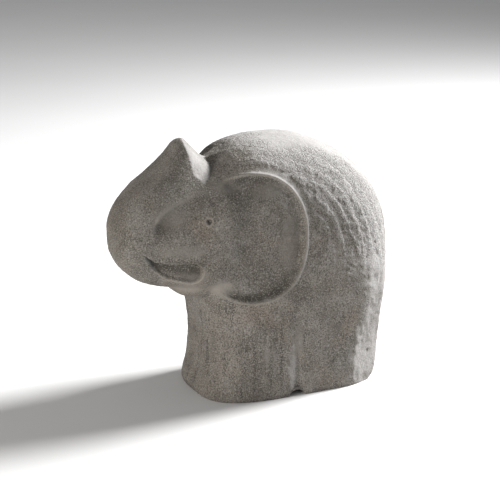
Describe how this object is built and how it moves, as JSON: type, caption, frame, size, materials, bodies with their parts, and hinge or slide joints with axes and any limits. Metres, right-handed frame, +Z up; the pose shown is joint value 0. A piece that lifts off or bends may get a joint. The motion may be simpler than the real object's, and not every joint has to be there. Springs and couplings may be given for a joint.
{
  "type": "elephant statue",
  "caption": "Rounded cast elephant, domed back over block-like legs, raised trunk folded up from the brow, and dished ears with raised rims.",
  "frame": {"origin": "middle of the bounding box, at the level of the flat underside", "axes": "the elephant faces -X, +Z is up, and +Y runs across it, to its right side"},
  "size_m": [0.3598, 0.1706, 0.3218],
  "materials": {
    "cast_concrete": "matt, sandy and weathered"
  },
  "bodies": {
    "root": {"elephant": "cast_concrete"}
  },
  "joints": []
}
